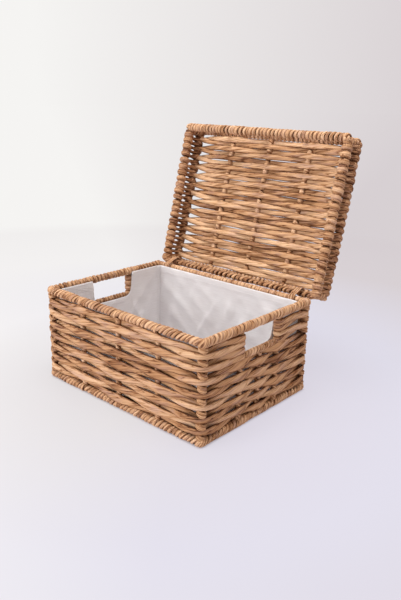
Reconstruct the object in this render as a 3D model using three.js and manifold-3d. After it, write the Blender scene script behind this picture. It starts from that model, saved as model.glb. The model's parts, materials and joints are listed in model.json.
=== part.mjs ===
// Lidded storage box, woven from plant-fibre strands on a welded wire frame, with a cotton liner.
// Millimetres, +Z up. The origin is the middle of the underside, X runs along the long sides,
// the hinged side faces +Y, and the lid stands open.

import * as THREE from 'three';
import { mergeVertices } from 'three/addons/utils/BufferGeometryUtils.js';
import Module from 'manifold-3d';

const wasm = await Module();
wasm.setup();

// Driving dimensions
const boxLength = 390;          // outside, along X
const boxWidth = 300;           // outside, along Y
const boxHeight = 180;          // ground to the top of the base rim
const lidDepth = 57;            // lid rim to the lid's outer face
const lidOverhang = 2;          // of the lid past the base, all round
const lidOpenAngle = 104;       // degrees from shut
const hingeOut = 6;             // middle of the base's rear rim to the hinge axis, along Y
const hingeUp = 4;              // middle of the base's rear rim to the hinge axis, along Z
const wireRadius = 1.6;
const cornerRadius = 11;        // of the wire loops
const rimRadius = 7.5;          // of a wrapped base rim
const lidRimRadius = 8.5;       // of a wrapped lid rim
const railRadius = 5.5;         // of the wrapped rail under a handle hole
const strandThickness = 5;
const courseCount = 7;          // woven courses up the wall
const handleCourseCount = 2;    // upper courses that a handle hole interrupts
const longSideBays = 4;         // spaces between the stakes of a long side
const handleWidth = 86;         // clear width of a handle hole
const lidRowCount = 14;
const floorRowCount = 7;
const linerThickness = 1.6;
const linerHem = 2;             // top edge of the liner below the wrapped rim
const tieThickness = 1.6;
const tieWidth = 10;
const tieInset = 38;            // end of the box to the middle of a hinge tie
const postSleeve = 1;           // fibre round a corner post where a strand passes it
const postBeadRadius = 6.2;     // fibre round a corner post between the courses
const lap = 8;                  // from a stake to the wire that is lapped beside it
const longTurns = 9;            // turns of wrapping strip along a long rim
const endTurns = 7;             // turns of wrapping strip along an end rim
const lidSideTurns = 10;        // turns of wrapping strip along a side of the lid rim
const lidEdgeTurns = 7;         // turns of wrapping strip along the front or rear of the lid's panel
const railTurns = 4;            // turns of wrapping strip along a handle rail
const turnGap = 1.6;            // between neighbouring turns of wrapping strip
const stripCrown = 0.85;        // outer width of a wrapping strip over its inner width
const floorCut = 0.5;           // taken flat off what stands on the ground
const patchLength = 24;         // of the flat where the floor strand stands on the ground
const clearance = 0.3;          // between pieces that touch
const strandGap = 0.5;          // between the two passes of a pair
const courseGap = 1;            // between neighbouring courses or rows

// Facets
const strandSides = 5;
const stepsPerBay = 2;
const stepsPerTurn = 5;
const wireSides = 4;
const sleeveSides = 5;
const arcSteps = 2;
const turnSteps = 3;
const tieArcSteps = 4;

const X = new THREE.Vector3(1, 0, 0);
const Y = new THREE.Vector3(0, 1, 0);
const Z = new THREE.Vector3(0, 0, 1);

// The wall: a wire in the middle, a strand on either side of it
const halfThickness = strandThickness / 2;
const neckRadius = wireRadius + postSleeve;
const strandOffset = neckRadius + clearance + halfThickness;
const strandReach = strandOffset + halfThickness;
const wallInset = Math.max(rimRadius, strandReach);
const wallX = boxLength / 2 - wallInset;
const wallY = boxWidth / 2 - wallInset;
const topRimZ = boxHeight - rimRadius;
const bottomRimZ = Math.max(rimRadius, strandReach - floorCut);
const knobRadius = cornerRadius * Math.SQRT1_2 - clearance;
const tieRoom = tieThickness + 2 * clearance;

const coursesLow = bottomRimZ + rimRadius;
const coursesHigh = topRimZ - rimRadius - tieRoom;
const ringCourseCount = courseCount - handleCourseCount;

// The handle courses stand a little higher than their pitch, so that the strand's turn round a
// handle post clears the rail wire: its lower edge lies a quarter of a pitch above the course's own.
const railStep = railRadius + wireRadius + clearance - (courseGap + strandGap) / 4;
const quarterPitches = 4 * courseCount;
const railRoom = Math.max(0, (quarterPitches * railStep - (coursesHigh - coursesLow)) / (quarterPitches - 1));
const coursePitch = (coursesHigh - coursesLow - railRoom) / courseCount;
const courseHalfWidth = (coursePitch - courseGap - strandGap) / 4;
const courseZ = (course) => (
  coursesLow + (course - 0.5) * coursePitch + (course > ringCourseCount ? railRoom : 0));

// The handle hole: two posts, the base rim above and a wrapped rail below
const handlePostY = handleWidth / 2 + strandReach;
const railZ = courseZ(ringCourseCount) + coursePitch / 2 + railRadius;

// The stakes of the long sides, and the wires that are lapped beside them
const stakePitch = (2 * wallX) / longSideBays;
const stakeXs = Array.from({ length: longSideBays - 1 }, (_, stake) => (stake + 1) * stakePitch - wallX);
const lappedXs = stakeXs.map((x) => x - lap);

// The lid, drawn shut, with its origin on the hinge axis
const hinge = new THREE.Vector3(0, wallY + hingeOut, topRimZ + hingeUp);
const lidInset = Math.max(lidRimRadius, strandReach) - lidOverhang;
const lidX = boxLength / 2 - lidInset;
const lidY = boxWidth / 2 - lidInset;
const lidMiddleY = -hinge.y;
const lidLowZ = boxHeight - hinge.z;
const lidTopZ = lidLowZ + lidDepth;
const lidRimZ = lidLowZ + clearance + lidRimRadius;
const lidPanelZ = lidTopZ - strandReach;
const lidEdgeRadius = strandReach;
const lidStrandOffset = wireRadius + clearance + halfThickness;
const lidRowPitch = (2 * (lidY - lidEdgeRadius)) / lidRowCount;
const lidRowHalfWidth = (lidRowPitch - courseGap - strandGap) / 4;

// Materials
const fibre = new THREE.MeshStandardMaterial({ color: 0xc79a6b, roughness: 0.75, flatShading: true });
const darkFibre = new THREE.MeshStandardMaterial({ color: 0xb08258, roughness: 0.8, flatShading: true });
const wire = new THREE.MeshStandardMaterial({
  color: 0x3b3531, roughness: 0.5, metalness: 0.8, flatShading: true });
const cotton = new THREE.MeshStandardMaterial({ color: 0xe6e1de, roughness: 0.95, flatShading: true });

const isLong = (sideName) => sideName === 'front' || sideName === 'rear';

// Meshes and booleans

function addMesh(parent, name, geometry, material) {
  const mesh = new THREE.Mesh(geometry, material);
  mesh.name = name;
  parent.add(mesh);
}

// A skin over a row of rings. It joins the last ring to the first, or closes both ends.
function loft(rings, isLoop) {
  const sides = rings[0].length;
  const bands = isLoop ? rings.length : rings.length - 1;
  const index = [];
  for (let band = 0; band < bands; band += 1) {
    const near = band * sides;
    const far = ((band + 1) % rings.length) * sides;
    for (let corner = 0; corner < sides; corner += 1) {
      const next = (corner + 1) % sides;
      index.push(near + corner, near + next, far + next);
      index.push(near + corner, far + next, far + corner);
    }
  }
  const last = (rings.length - 1) * sides;
  for (let corner = 1; !isLoop && corner < sides - 1; corner += 1) {
    index.push(0, corner + 1, corner);
    index.push(last, last + corner, last + corner + 1);
  }
  return new THREE.BufferGeometry().setFromPoints(rings.flat()).setIndex(index);
}

function solidOf(geometry) {
  const bare = new THREE.BufferGeometry();
  bare.setAttribute('position', geometry.getAttribute('position'));
  bare.setIndex(geometry.getIndex());
  const merged = mergeVertices(bare);
  const vertProperties = new Float32Array(merged.getAttribute('position').array);
  const triVerts = new Uint32Array(merged.getIndex().array);
  return new wasm.Manifold(new wasm.Mesh({ numProp: 3, vertProperties, triVerts }));
}

function geometryOf(solid) {
  const mesh = solid.getMesh();
  const geometry = new THREE.BufferGeometry();
  geometry.setAttribute('position', new THREE.BufferAttribute(mesh.vertProperties, mesh.numProp));
  geometry.setIndex(new THREE.BufferAttribute(mesh.triVerts, 1));
  return geometry;
}

function joined(geometries) {
  return geometries.map(solidOf).reduce((whole, solid) => whole.add(solid));
}

// Everything below the ground is taken off.
function cutAtGround(geometry) {
  const below = new THREE.BoxGeometry(2 * boxLength, 2 * boxWidth, boxHeight);
  below.translate(0, 0, -boxHeight / 2);
  return geometryOf(solidOf(geometry).subtract(solidOf(below)));
}

// An oval ring of points, wide along one direction and thick along another
function ovalRing(centre, wide, halfWide, thick, halfThick, sides) {
  return Array.from({ length: sides }, (_, corner) => {
    const angle = (2 * Math.PI * corner) / sides;
    return centre.clone()
      .addScaledVector(wide, halfWide * Math.cos(angle))
      .addScaledVector(thick, halfThick * Math.sin(angle));
  });
}

// Wires

function rod(from, to, radius) {
  const along = to.clone().sub(from);
  const geometry = new THREE.CylinderGeometry(radius, radius, along.length(), wireSides);
  geometry.applyQuaternion(new THREE.Quaternion().setFromUnitVectors(Y, along.clone().normalize()));
  const middle = from.clone().lerp(to, 0.5);
  return geometry.translate(middle.x, middle.y, middle.z);
}

// A wire loop is a rectangle with round corners. Each of its sides is measured from its own middle
// and goes on round the corner at both ends, where the corner posts stand.
function wireLoop(halfX, halfY, middle) {
  const loopSide = (along, out, halfAlong, halfOut) => {
    const straight = halfAlong - cornerRadius;
    const place = (distance) => {
      const onStraight = THREE.MathUtils.clamp(distance, -straight, straight);
      const turn = (distance - onStraight) / cornerRadius;
      const facing = out.clone().multiplyScalar(Math.cos(turn)).addScaledVector(along, Math.sin(turn));
      const point = middle.clone()
        .addScaledVector(along, onStraight)
        .addScaledVector(out, halfOut - cornerRadius)
        .addScaledVector(facing, cornerRadius);
      return { point, out: facing };
    };
    return { straight, corner: straight + (cornerRadius * Math.PI) / 4, place };
  };
  return {
    front: loopSide(X, Y.clone().negate(), halfX, halfY),
    right: loopSide(Y, X, halfY, halfX),
    rear: loopSide(X.clone().negate(), Y, halfX, halfY),
    left: loopSide(Y.clone().negate(), X.clone().negate(), halfY, halfX),
  };
}

function loopWire(loop, radius) {
  const rings = Object.values(loop).flatMap((side) => {
    const arc = side.corner - side.straight;
    const onArc = Array.from({ length: arcSteps }, (_, step) => side.straight + (2 * arc * step) / arcSteps);
    return [-side.straight, ...onArc].map((distance) => {
      const { point, out } = side.place(distance);
      return ovalRing(point, Z, radius, out, radius, wireSides);
    });
  });
  return loft(rings, true);
}

function cornerPoints(loop) {
  return Object.values(loop).map((side) => side.place(side.corner).point);
}

// The wires of the base: two loops, corner posts, stakes, handle posts and rails, floor wires
function baseWires(radius) {
  const wires = [loopWire(topLoop, radius), loopWire(bottomLoop, radius)];
  const upright = (x, y) => {
    wires.push(rod(new THREE.Vector3(x, y, bottomRimZ), new THREE.Vector3(x, y, topRimZ), radius));
  };
  const crossing = (x, halfY, z) => {
    wires.push(rod(new THREE.Vector3(x, -halfY, z), new THREE.Vector3(x, halfY, z), radius));
  };
  cornerPoints(bottomLoop).forEach((corner) => upright(corner.x, corner.y));
  for (const y of [-wallY, wallY]) {
    stakeXs.forEach((x) => upright(x, y));
  }
  for (const x of [-wallX, wallX]) {
    upright(x, -handlePostY);
    upright(x, handlePostY);
    crossing(x, handlePostY, railZ);
  }
  lappedXs.forEach((x) => crossing(x, wallY, bottomRimZ));
  return joined(wires);
}

// The wires of the lid: rim loop, panel loop, corner posts, stakes across and uprights beside them
function lidWires(radius) {
  const wires = [loopWire(lidRimLoop, radius), loopWire(lidPanelLoop, radius)];
  const front = lidMiddleY - lidY;
  const rear = lidMiddleY + lidY;
  const upright = (x, y) => {
    wires.push(rod(new THREE.Vector3(x, y, lidRimZ), new THREE.Vector3(x, y, lidPanelZ), radius));
  };
  cornerPoints(lidRimLoop).forEach((corner) => upright(corner.x, corner.y));
  for (const x of lappedXs) {
    upright(x, front);
    upright(x, rear);
  }
  for (const x of stakeXs) {
    wires.push(rod(new THREE.Vector3(x, front, lidPanelZ), new THREE.Vector3(x, rear, lidPanelZ), radius));
  }
  return joined(wires);
}

const topLoop = wireLoop(wallX, wallY, new THREE.Vector3(0, 0, topRimZ));
const bottomLoop = wireLoop(wallX, wallY, new THREE.Vector3(0, 0, bottomRimZ));
const lidRimLoop = wireLoop(lidX, lidY, new THREE.Vector3(0, lidMiddleY, lidRimZ));
const lidPanelLoop = wireLoop(lidX, lidY, new THREE.Vector3(0, lidMiddleY, lidPanelZ));

// Fibre round a corner post: a profile turned about the post, less the wires inside it
function postWrap(post, profile, wires) {
  const turned = new THREE.LatheGeometry(profile.map(([r, z]) => new THREE.Vector2(r, z)), sleeveSides);
  turned.rotateX(Math.PI / 2);
  turned.translate(post.x, post.y, 0);
  return geometryOf(solidOf(turned).subtract(wires));
}

// A knob at each rim, a bead between neighbouring courses and a neck where a strand goes by
function basePostProfile() {
  const chamfer = clearance + strandGap;
  const profile = [[0, 0], [knobRadius - chamfer, 0], [knobRadius, chamfer]];
  for (let course = 1; course <= courseCount; course += 1) {
    const low = courseZ(course) - courseHalfWidth - clearance;
    const high = courseZ(course) + courseHalfWidth + clearance;
    const radiusBelow = course === 1 ? knobRadius : postBeadRadius;
    const radiusAbove = course === courseCount ? knobRadius : postBeadRadius;
    profile.push([radiusBelow, low - chamfer], [neckRadius, low]);
    profile.push([neckRadius, high], [radiusAbove, high + chamfer]);
  }
  profile.push([knobRadius, boxHeight - chamfer], [knobRadius - chamfer, boxHeight], [0, boxHeight]);
  return profile;
}

function lidPostProfile() {
  const waist = (lidRimZ + lidPanelZ) / 2;
  const low = lidRimZ - lidRimRadius;
  return [[0, low], [postBeadRadius, low], [knobRadius, lidRimZ], [postBeadRadius, waist],
    [knobRadius, lidPanelZ], [postBeadRadius, lidTopZ], [0, lidTopZ]];
}

// Weaving: two passes of strand, one above the other, change faces of the wall in every bay

// Where a strand runs beside its wires, the way that the rows are set side by side, and half its width
const wallWeave = { offset: strandOffset, beside: Z, halfWidth: courseHalfWidth };
const lidWeave = { offset: lidStrandOffset, beside: Y, halfWidth: lidRowHalfWidth };

// The places along one side where a strand's outline is set. Each has the changes of face made so far
// and the strand's level in its course, 1 for the upper row and -1 for the lower. The pair is drawn
// together at the first and last post. In the swap bay a strand stays on its face and changes rows.
function bayStations(side, posts, firstChanges, firstLevel, swapBay) {
  const stations = [];
  const lastBay = posts.length - 2;
  let changes = firstChanges;
  let level = firstLevel;
  for (let bay = 0; bay <= lastBay; bay += 1) {
    const from = posts[bay];
    const to = posts[bay + 1];
    const isSwap = bay === swapBay;
    const stops = Array.from({ length: stepsPerBay }, (_, step) => from + ((to - from) * step) / stepsPerBay);
    if (from < -side.straight) stops.splice(1, 0, -side.straight);
    if (to > side.straight) stops.push(side.straight);
    for (const stop of stops) {
      const part = (stop - from) / (to - from);
      const rise = bay === 0 ? Math.min(1, 2 * part) : 1;
      const fall = bay === lastBay ? Math.min(1, 2 - 2 * part) : 1;
      stations.push({
        ...side.place(stop),
        changes: changes + (isSwap ? 0 : part),
        level: level * (isSwap ? 1 - 2 * part : rise * fall),
      });
    }
    changes += isSwap ? 0 : 1;
    level *= isSwap ? -1 : 1;
  }
  return stations;
}

function strandRing(station, weave, isReturning) {
  const way = isReturning ? -1 : 1;
  const lift = weave.halfWidth + strandGap / 2;
  const centre = station.point.clone()
    .addScaledVector(station.out, way * weave.offset * Math.cos(Math.PI * station.changes))
    .addScaledVector(weave.beside, way * lift * station.level);
  const thick = station.out.clone().multiplyScalar(way);
  return ovalRing(centre, weave.beside, weave.halfWidth, thick, halfThickness, strandSides);
}

// The strand's way round the last post, back to the other face of the wall
function turnRings(station, weave, isReturning) {
  const way = isReturning ? -1 : 1;
  const along = weave.beside.clone().cross(station.out).multiplyScalar(way);
  const face = way * Math.round(Math.cos(Math.PI * station.changes));
  const rings = [];
  for (let step = 1; step < turnSteps; step += 1) {
    const angle = (Math.PI * step) / turnSteps;
    const away = station.out.clone().multiplyScalar(face * Math.cos(angle))
      .addScaledVector(along, Math.sin(angle));
    const centre = station.point.clone().addScaledVector(away, weave.offset);
    const thick = away.multiplyScalar(way * face);
    rings.push(ovalRing(centre, weave.beside, weave.halfWidth, thick, halfThickness, strandSides));
  }
  return rings;
}

// One strand that goes out as one pass of the pair, round the last post and back as the other
function wovenLoop(stations, weave) {
  const out = stations.map((station) => strandRing(station, weave, false));
  const back = stations.map((station) => strandRing(station, weave, true)).reverse();
  const farTurn = turnRings(stations.at(-1), weave, false);
  const nearTurn = turnRings(stations[0], weave, true);
  return loft([...out, ...farTurn, ...back, ...nearTurn], true);
}

function postsOf(name, side) {
  const between = isLong(name) ? stakeXs : [-handlePostY, handlePostY];
  return [-side.corner, ...between, side.corner];
}

// A course right round the box. In one bay of the rear the passes swap rows, so that the strand comes
// back as the other pass after one round and closes on itself after two.
function ringCourse(z) {
  const loop = wireLoop(wallX, wallY, new THREE.Vector3(0, 0, z));
  const swapBays = { rear: 1 };
  const stations = [];
  let changes = 0;
  let level = -1;
  for (let round = 0; round < 2; round += 1) {
    for (const [name, side] of Object.entries(loop)) {
      const posts = postsOf(name, side);
      const hasSwap = name in swapBays;
      stations.push(...bayStations(side, posts, changes, level, swapBays[name]));
      changes += posts.length - (hasSwap ? 2 : 1);
      level *= hasSwap ? -1 : 1;
    }
  }
  return loft(stations.map((station) => strandRing(station, wallWeave, false)), true);
}

// A course from one handle hole round a long side to the other, in step with the courses below it
function handleCourse(z, isRear) {
  const loop = wireLoop(wallX, wallY, new THREE.Vector3(0, 0, z));
  const [start, finish] = isRear ? [loop.right, loop.left] : [loop.left, loop.right];
  const middleName = isRear ? 'rear' : 'front';
  const middle = loop[middleName];
  const level = isRear ? -1 : 1;
  const middleChanges = 1;
  const finishChanges = middleChanges + longSideBays;
  const stations = [
    ...bayStations(start, [handlePostY, start.corner], 0, level),
    ...bayStations(middle, postsOf(middleName, middle), middleChanges, level),
    ...bayStations(finish, [-finish.corner, -handlePostY], finishChanges, level),
    { ...finish.place(-handlePostY), changes: finishChanges + 1, level: 0 },
  ];
  return wovenLoop(stations, wallWeave);
}

// A row of the lid's panel, from one side wire of the panel loop to the other
function lidRow(y) {
  const place = (x) => ({ point: new THREE.Vector3(x, y, lidPanelZ), out: Z });
  const posts = [-lidX, ...stakeXs, lidX];
  const side = { straight: lidX, place };
  const stations = bayStations(side, posts, 0, -1);
  stations.push({ ...place(lidX), changes: longSideBays, level: 0 });
  return wovenLoop(stations, lidWeave);
}

// Wrapping strip: a flat helix round a straight wire

function leastGap(rings) {
  let least = Infinity;
  rings.forEach((ring, index) => {
    rings.slice(index + stepsPerTurn - 1).forEach((other) => {
      ring.forEach((a) => other.forEach((b) => {
        least = Math.min(least, a.distanceTo(b));
      }));
    });
  });
  return least;
}

// The strip covers half the side's length each way from its middle, and starts and ends underneath.
// Holes are cut in it where other wires meet the one that it wraps.
function wrappingStrip(name, side, half, turns, radius, wireRoom) {
  const pitch = (2 * half + turnGap) / (turns + 1);
  const halfStrip = (pitch - turnGap) / 2;
  const innerRadius = (wireRadius + 2 * clearance) / Math.cos(Math.PI / stepsPerTurn);
  const rings = [];
  for (let step = 0; step <= turns * stepsPerTurn; step += 1) {
    const middle = halfStrip - half + (pitch * step) / stepsPerTurn;
    const angle = Math.PI + (2 * Math.PI * step) / stepsPerTurn;
    const corner = (shift, r) => {
      const { point, out } = side.place(middle + shift);
      return point.addScaledVector(Z, r * Math.cos(angle)).addScaledVector(out, r * Math.sin(angle));
    };
    rings.push([corner(-halfStrip, innerRadius), corner(halfStrip, innerRadius),
      corner(halfStrip * stripCrown, radius), corner(-halfStrip * stripCrown, radius)]);
  }
  console.log(`${name}: least gap between turns ${leastGap(rings).toFixed(2)} mm`);
  return geometryOf(solidOf(loft(rings, false)).subtract(wireRoom));
}

// Base

function buildBase() {
  const base = new THREE.Group();
  addMesh(base, 'base_wire_frame', geometryOf(baseWires(wireRadius)), wire);

  const wireRoom = baseWires(wireRadius + clearance);
  cornerPoints(bottomLoop).forEach((post, corner) => {
    addMesh(base, `base_corner_post_${corner + 1}`, postWrap(post, basePostProfile(), wireRoom), fibre);
  });

  for (let course = 1; course <= ringCourseCount; course += 1) {
    addMesh(base, `course_${course}_strand`, ringCourse(courseZ(course)), fibre);
  }
  for (let course = ringCourseCount + 1; course <= courseCount; course += 1) {
    addMesh(base, `course_${course}_front_strand`, handleCourse(courseZ(course), false), fibre);
    addMesh(base, `course_${course}_rear_strand`, handleCourse(courseZ(course), true), fibre);
  }

  for (const name of ['front', 'right', 'rear', 'left']) {
    const turns = isLong(name) ? longTurns : endTurns;
    const half = topLoop[name].straight - clearance;
    const rims = [[`top_rim_winding_${name}`, topLoop], [`bottom_rim_winding_${name}`, bottomLoop]];
    for (const [rim, loop] of rims) {
      addMesh(base, rim, wrappingStrip(rim, loop[name], half, turns, rimRadius, wireRoom), darkFibre);
    }
  }

  const railLoop = wireLoop(wallX, wallY, new THREE.Vector3(0, 0, railZ));
  for (const name of ['right', 'left']) {
    const rail = `handle_rail_winding_${name}`;
    const half = handlePostY - strandReach - clearance;
    const strip = wrappingStrip(rail, railLoop[name], half, railTurns, railRadius, wireRoom);
    addMesh(base, rail, strip, darkFibre);
  }
  addMesh(base, 'floor_strand', floorStrand(), fibre);
  addLiner(base);
  addTies(base);
  return base;
}

// One flat strand to and fro across the floor, over and under the floor wires in turn
function floorStrand() {
  const rowPitch = (2 * (wallY - rimRadius - clearance)) / floorRowCount;
  const halfWidth = (rowPitch - courseGap) / 2;
  const turnX = wallX - rimRadius - clearance - rowPitch / 2 - halfWidth;
  const middleRow = (floorRowCount - 1) / 2;
  const rings = [];
  const height = (x, row) => {
    const nearest = Math.round((x + lap) / stakePitch);
    const fromWire = x + lap - nearest * stakePitch;
    const flat = THREE.MathUtils.clamp(fromWire, -patchLength / 2, patchLength / 2);
    const wave = Math.cos((Math.PI * (fromWire - flat)) / (stakePitch - patchLength));
    const face = (nearest + row - Math.ceil(middleRow)) % 2 === 0 ? -1 : 1;
    return bottomRimZ + strandOffset * face * wave;
  };
  const addRing = (point, across) => {
    const up = Z.clone().multiplyScalar(halfThickness);
    const wide = across.clone().multiplyScalar(halfWidth);
    rings.push([[1, 1], [1, -1], [-1, -1], [-1, 1]].map(([side, level]) => (
      point.clone().addScaledVector(wide, side).addScaledVector(up, level))));
  };
  for (let row = 0; row < floorRowCount; row += 1) {
    const y = (row - middleRow) * rowPitch;
    const way = row % 2 === 0 ? 1 : -1;
    const stops = [-turnX, ...lappedXs.flatMap((x) => [x - patchLength / 2, x + patchLength / 2]), turnX];
    for (const x of way > 0 ? stops : stops.reverse()) {
      addRing(new THREE.Vector3(x, y, height(x, row)), Y.clone().multiplyScalar(-way));
    }
    const from = height(way * turnX, row);
    const to = height(way * turnX, row + 1);
    for (let step = 1; step < turnSteps && row + 1 < floorRowCount; step += 1) {
      const angle = (Math.PI * step) / turnSteps;
      const away = Y.clone().multiplyScalar(-Math.cos(angle)).addScaledVector(X, way * Math.sin(angle));
      const point = new THREE.Vector3(way * turnX, y + rowPitch / 2, from + ((to - from) * step) / turnSteps);
      addRing(point.addScaledVector(away, rowPitch / 2), away.clone().multiplyScalar(way));
    }
  }
  return cutAtGround(loft(rings, false));
}

// Cotton liner: a floor and four walls, cut out at the handle holes
function addLiner(base) {
  const outerX = wallX - strandReach - clearance;
  const outerY = wallY - strandReach - clearance;
  const floorZ = bottomRimZ + strandReach + clearance;
  const lowZ = floorZ + linerThickness + clearance;
  const highZ = topRimZ - rimRadius - linerHem;
  const settings = { depth: linerThickness, bevelEnabled: false };
  const panel = (outline) => new THREE.ExtrudeGeometry(outline, settings);
  const rectangle = (halfX, lowY, highY) => new THREE.Shape([
    new THREE.Vector2(-halfX, lowY), new THREE.Vector2(halfX, lowY),
    new THREE.Vector2(halfX, highY), new THREE.Vector2(-halfX, highY)]);

  const floorHalfX = outerX - linerThickness - clearance;
  const floorHalfY = outerY - linerThickness - clearance;
  const floor = panel(rectangle(floorHalfX, -floorHalfY, floorHalfY)).translate(0, 0, floorZ);
  addMesh(base, 'liner_floor', floor, cotton);

  const longHalf = wallX - cornerRadius;
  const front = panel(rectangle(longHalf, lowZ, highZ)).rotateX(Math.PI / 2);
  addMesh(base, 'liner_front', front.clone().translate(0, linerThickness - outerY, 0), cotton);
  addMesh(base, 'liner_rear', front.clone().translate(0, outerY, 0), cotton);

  const endHalf = outerY - linerThickness - clearance;
  const holeZ = railZ + railRadius;
  const holeHalf = handleWidth / 2;
  const cutOut = new THREE.Shape([
    new THREE.Vector2(-endHalf, lowZ), new THREE.Vector2(endHalf, lowZ),
    new THREE.Vector2(endHalf, highZ), new THREE.Vector2(holeHalf, highZ),
    new THREE.Vector2(holeHalf, holeZ), new THREE.Vector2(-holeHalf, holeZ),
    new THREE.Vector2(-holeHalf, highZ), new THREE.Vector2(-endHalf, highZ)]);
  const end = panel(cutOut).rotateX(Math.PI / 2).rotateZ(Math.PI / 2);
  addMesh(base, 'liner_right', end.clone().translate(outerX - linerThickness, 0, 0), cotton);
  addMesh(base, 'liner_left', end.clone().translate(-outerX, 0, 0), cotton);
}

// A hinge tie is a band round the two rear rims, taut when the lid stands open.
function addTies(base) {
  const rimOfBase = new THREE.Vector2(wallY, topRimZ);
  const rimOfLid = new THREE.Vector3(0, lidMiddleY + lidY, lidRimZ)
    .applyAxisAngle(X, THREE.MathUtils.degToRad(-lidOpenAngle)).add(hinge);
  const reach = new THREE.Vector2(rimOfLid.y, rimOfLid.z).sub(rimOfBase);
  const bandOutline = (outline, grow) => {
    const baseBand = rimRadius + clearance + grow;
    const lidBand = lidRimRadius + clearance + grow;
    const spread = Math.acos((baseBand - lidBand) / reach.length());
    const lowTurn = reach.angle() - spread;
    const highTurn = reach.angle() + spread;
    outline.absarc(rimOfLid.y, rimOfLid.z, lidBand, lowTurn, highTurn, false);
    outline.absarc(rimOfBase.x, rimOfBase.y, baseBand, highTurn, lowTurn + 2 * Math.PI, false);
    return outline;
  };
  const band = bandOutline(new THREE.Shape(), tieThickness);
  band.holes.push(bandOutline(new THREE.Path(), 0));
  const settings = { depth: tieWidth, bevelEnabled: false, curveSegments: tieArcSteps };
  const tie = new THREE.ExtrudeGeometry(band, settings).rotateX(Math.PI / 2).rotateZ(Math.PI / 2);
  const tieX = boxLength / 2 - tieInset;
  addMesh(base, 'hinge_tie_right', tie.clone().translate(tieX - tieWidth / 2, 0, 0), darkFibre);
  addMesh(base, 'hinge_tie_left', tie.clone().translate(-tieX - tieWidth / 2, 0, 0), darkFibre);
}

// Lid

function buildLid() {
  const lid = new THREE.Group();
  addMesh(lid, 'lid_wire_frame', geometryOf(lidWires(wireRadius)), wire);

  const wireRoom = lidWires(wireRadius + clearance);
  cornerPoints(lidRimLoop).forEach((post, corner) => {
    addMesh(lid, `lid_corner_post_${corner + 1}`, postWrap(post, lidPostProfile(), wireRoom), fibre);
  });

  for (let row = 0; row < lidRowCount; row += 1) {
    const y = lidMiddleY + (row - (lidRowCount - 1) / 2) * lidRowPitch;
    addMesh(lid, `lid_row_${String(row + 1).padStart(2, '0')}`, lidRow(y), fibre);
  }

  for (const name of ['front', 'right', 'rear', 'left']) {
    const turns = isLong(name) ? longTurns : lidSideTurns;
    const half = lidRimLoop[name].straight - clearance;
    const rim = `lid_rim_winding_${name}`;
    addMesh(lid, rim, wrappingStrip(rim, lidRimLoop[name], half, turns, lidRimRadius, wireRoom), darkFibre);
    if (isLong(name)) {
      const edge = `lid_edge_winding_${name}`;
      const strip = wrappingStrip(edge, lidPanelLoop[name], half, lidEdgeTurns, lidEdgeRadius, wireRoom);
      addMesh(lid, edge, strip, darkFibre);
    }
  }
  lid.position.copy(hinge);
  lid.rotation.x = THREE.MathUtils.degToRad(-lidOpenAngle);
  return lid;
}

const box = new THREE.Group();
box.add(buildBase(), buildLid());

export default box;
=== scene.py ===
"""Woven lidded box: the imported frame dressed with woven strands, wrapped rims and a cotton liner."""

import json
import math
import zlib
from dataclasses import dataclass

import bpy
import numpy as np
from mathutils import Matrix, Vector


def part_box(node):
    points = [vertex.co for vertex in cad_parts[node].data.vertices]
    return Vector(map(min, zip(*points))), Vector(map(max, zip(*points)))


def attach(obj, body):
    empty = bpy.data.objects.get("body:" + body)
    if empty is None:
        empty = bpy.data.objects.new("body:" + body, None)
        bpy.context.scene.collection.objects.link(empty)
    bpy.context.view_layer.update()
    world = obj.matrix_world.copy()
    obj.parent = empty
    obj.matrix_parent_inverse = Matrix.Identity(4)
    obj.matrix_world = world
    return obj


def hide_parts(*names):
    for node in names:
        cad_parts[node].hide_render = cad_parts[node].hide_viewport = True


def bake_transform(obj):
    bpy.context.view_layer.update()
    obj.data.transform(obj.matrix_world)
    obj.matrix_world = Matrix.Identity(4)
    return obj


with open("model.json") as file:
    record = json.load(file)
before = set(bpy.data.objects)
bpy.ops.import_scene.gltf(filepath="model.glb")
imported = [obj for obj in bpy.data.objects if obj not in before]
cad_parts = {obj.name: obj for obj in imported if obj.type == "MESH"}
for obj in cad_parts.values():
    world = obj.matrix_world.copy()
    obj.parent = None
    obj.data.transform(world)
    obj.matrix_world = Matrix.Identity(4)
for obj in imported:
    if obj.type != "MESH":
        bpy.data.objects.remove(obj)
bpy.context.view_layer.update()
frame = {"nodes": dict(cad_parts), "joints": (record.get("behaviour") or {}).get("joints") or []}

# Sizes of the frame, in metres
MM = 0.001
BOX_LENGTH = 390 * MM
BOX_WIDTH = 300 * MM
BOX_HEIGHT = 180 * MM
LID_DEPTH = 57 * MM
LID_OVERHANG = 2 * MM
CORNER_RADIUS = 11 * MM
RIM_CORNER_RADIUS = 5 * MM
RIM_RADIUS = 7.5 * MM
LID_RIM_RADIUS = 8.5 * MM
RAIL_RADIUS = 5.5 * MM
STRAND_REACH = 7.9 * MM
HANDLE_WIDTH = 86 * MM
RING_COURSES = range(1, 6)
HANDLE_COURSES = range(6, 8)
LID_ROWS = 14
FLOOR_ROWS = 7
FLOOR_ROW_STRANDS = 4
TIE_INSET = 38 * MM
LAP = 8 * MM
CLEARANCE = 0.3 * MM

# Sizes of the weave
STRAND_HALF_THICKNESS = 3.3 * MM
STRAND_FILL = 1.05            # width of a strand as a share of the room that its row leaves
STRAND_CREASE = 0.3           # depth of a strand's creases as a share of its thickness
EDGE_SHADE = 1.0              # how much darker in tone a strand's edges are than its middle: painted shade where strands meet
# The same painted shade at the edges of wrapped strip
WRAP_EDGE_SHADE = 0.6
STRAND_SIDES = 20
BAY_STEPS = 14
WRAP_STEPS = 14
WRAP_SIDES = 10
CORE_SIDES = 10

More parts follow.
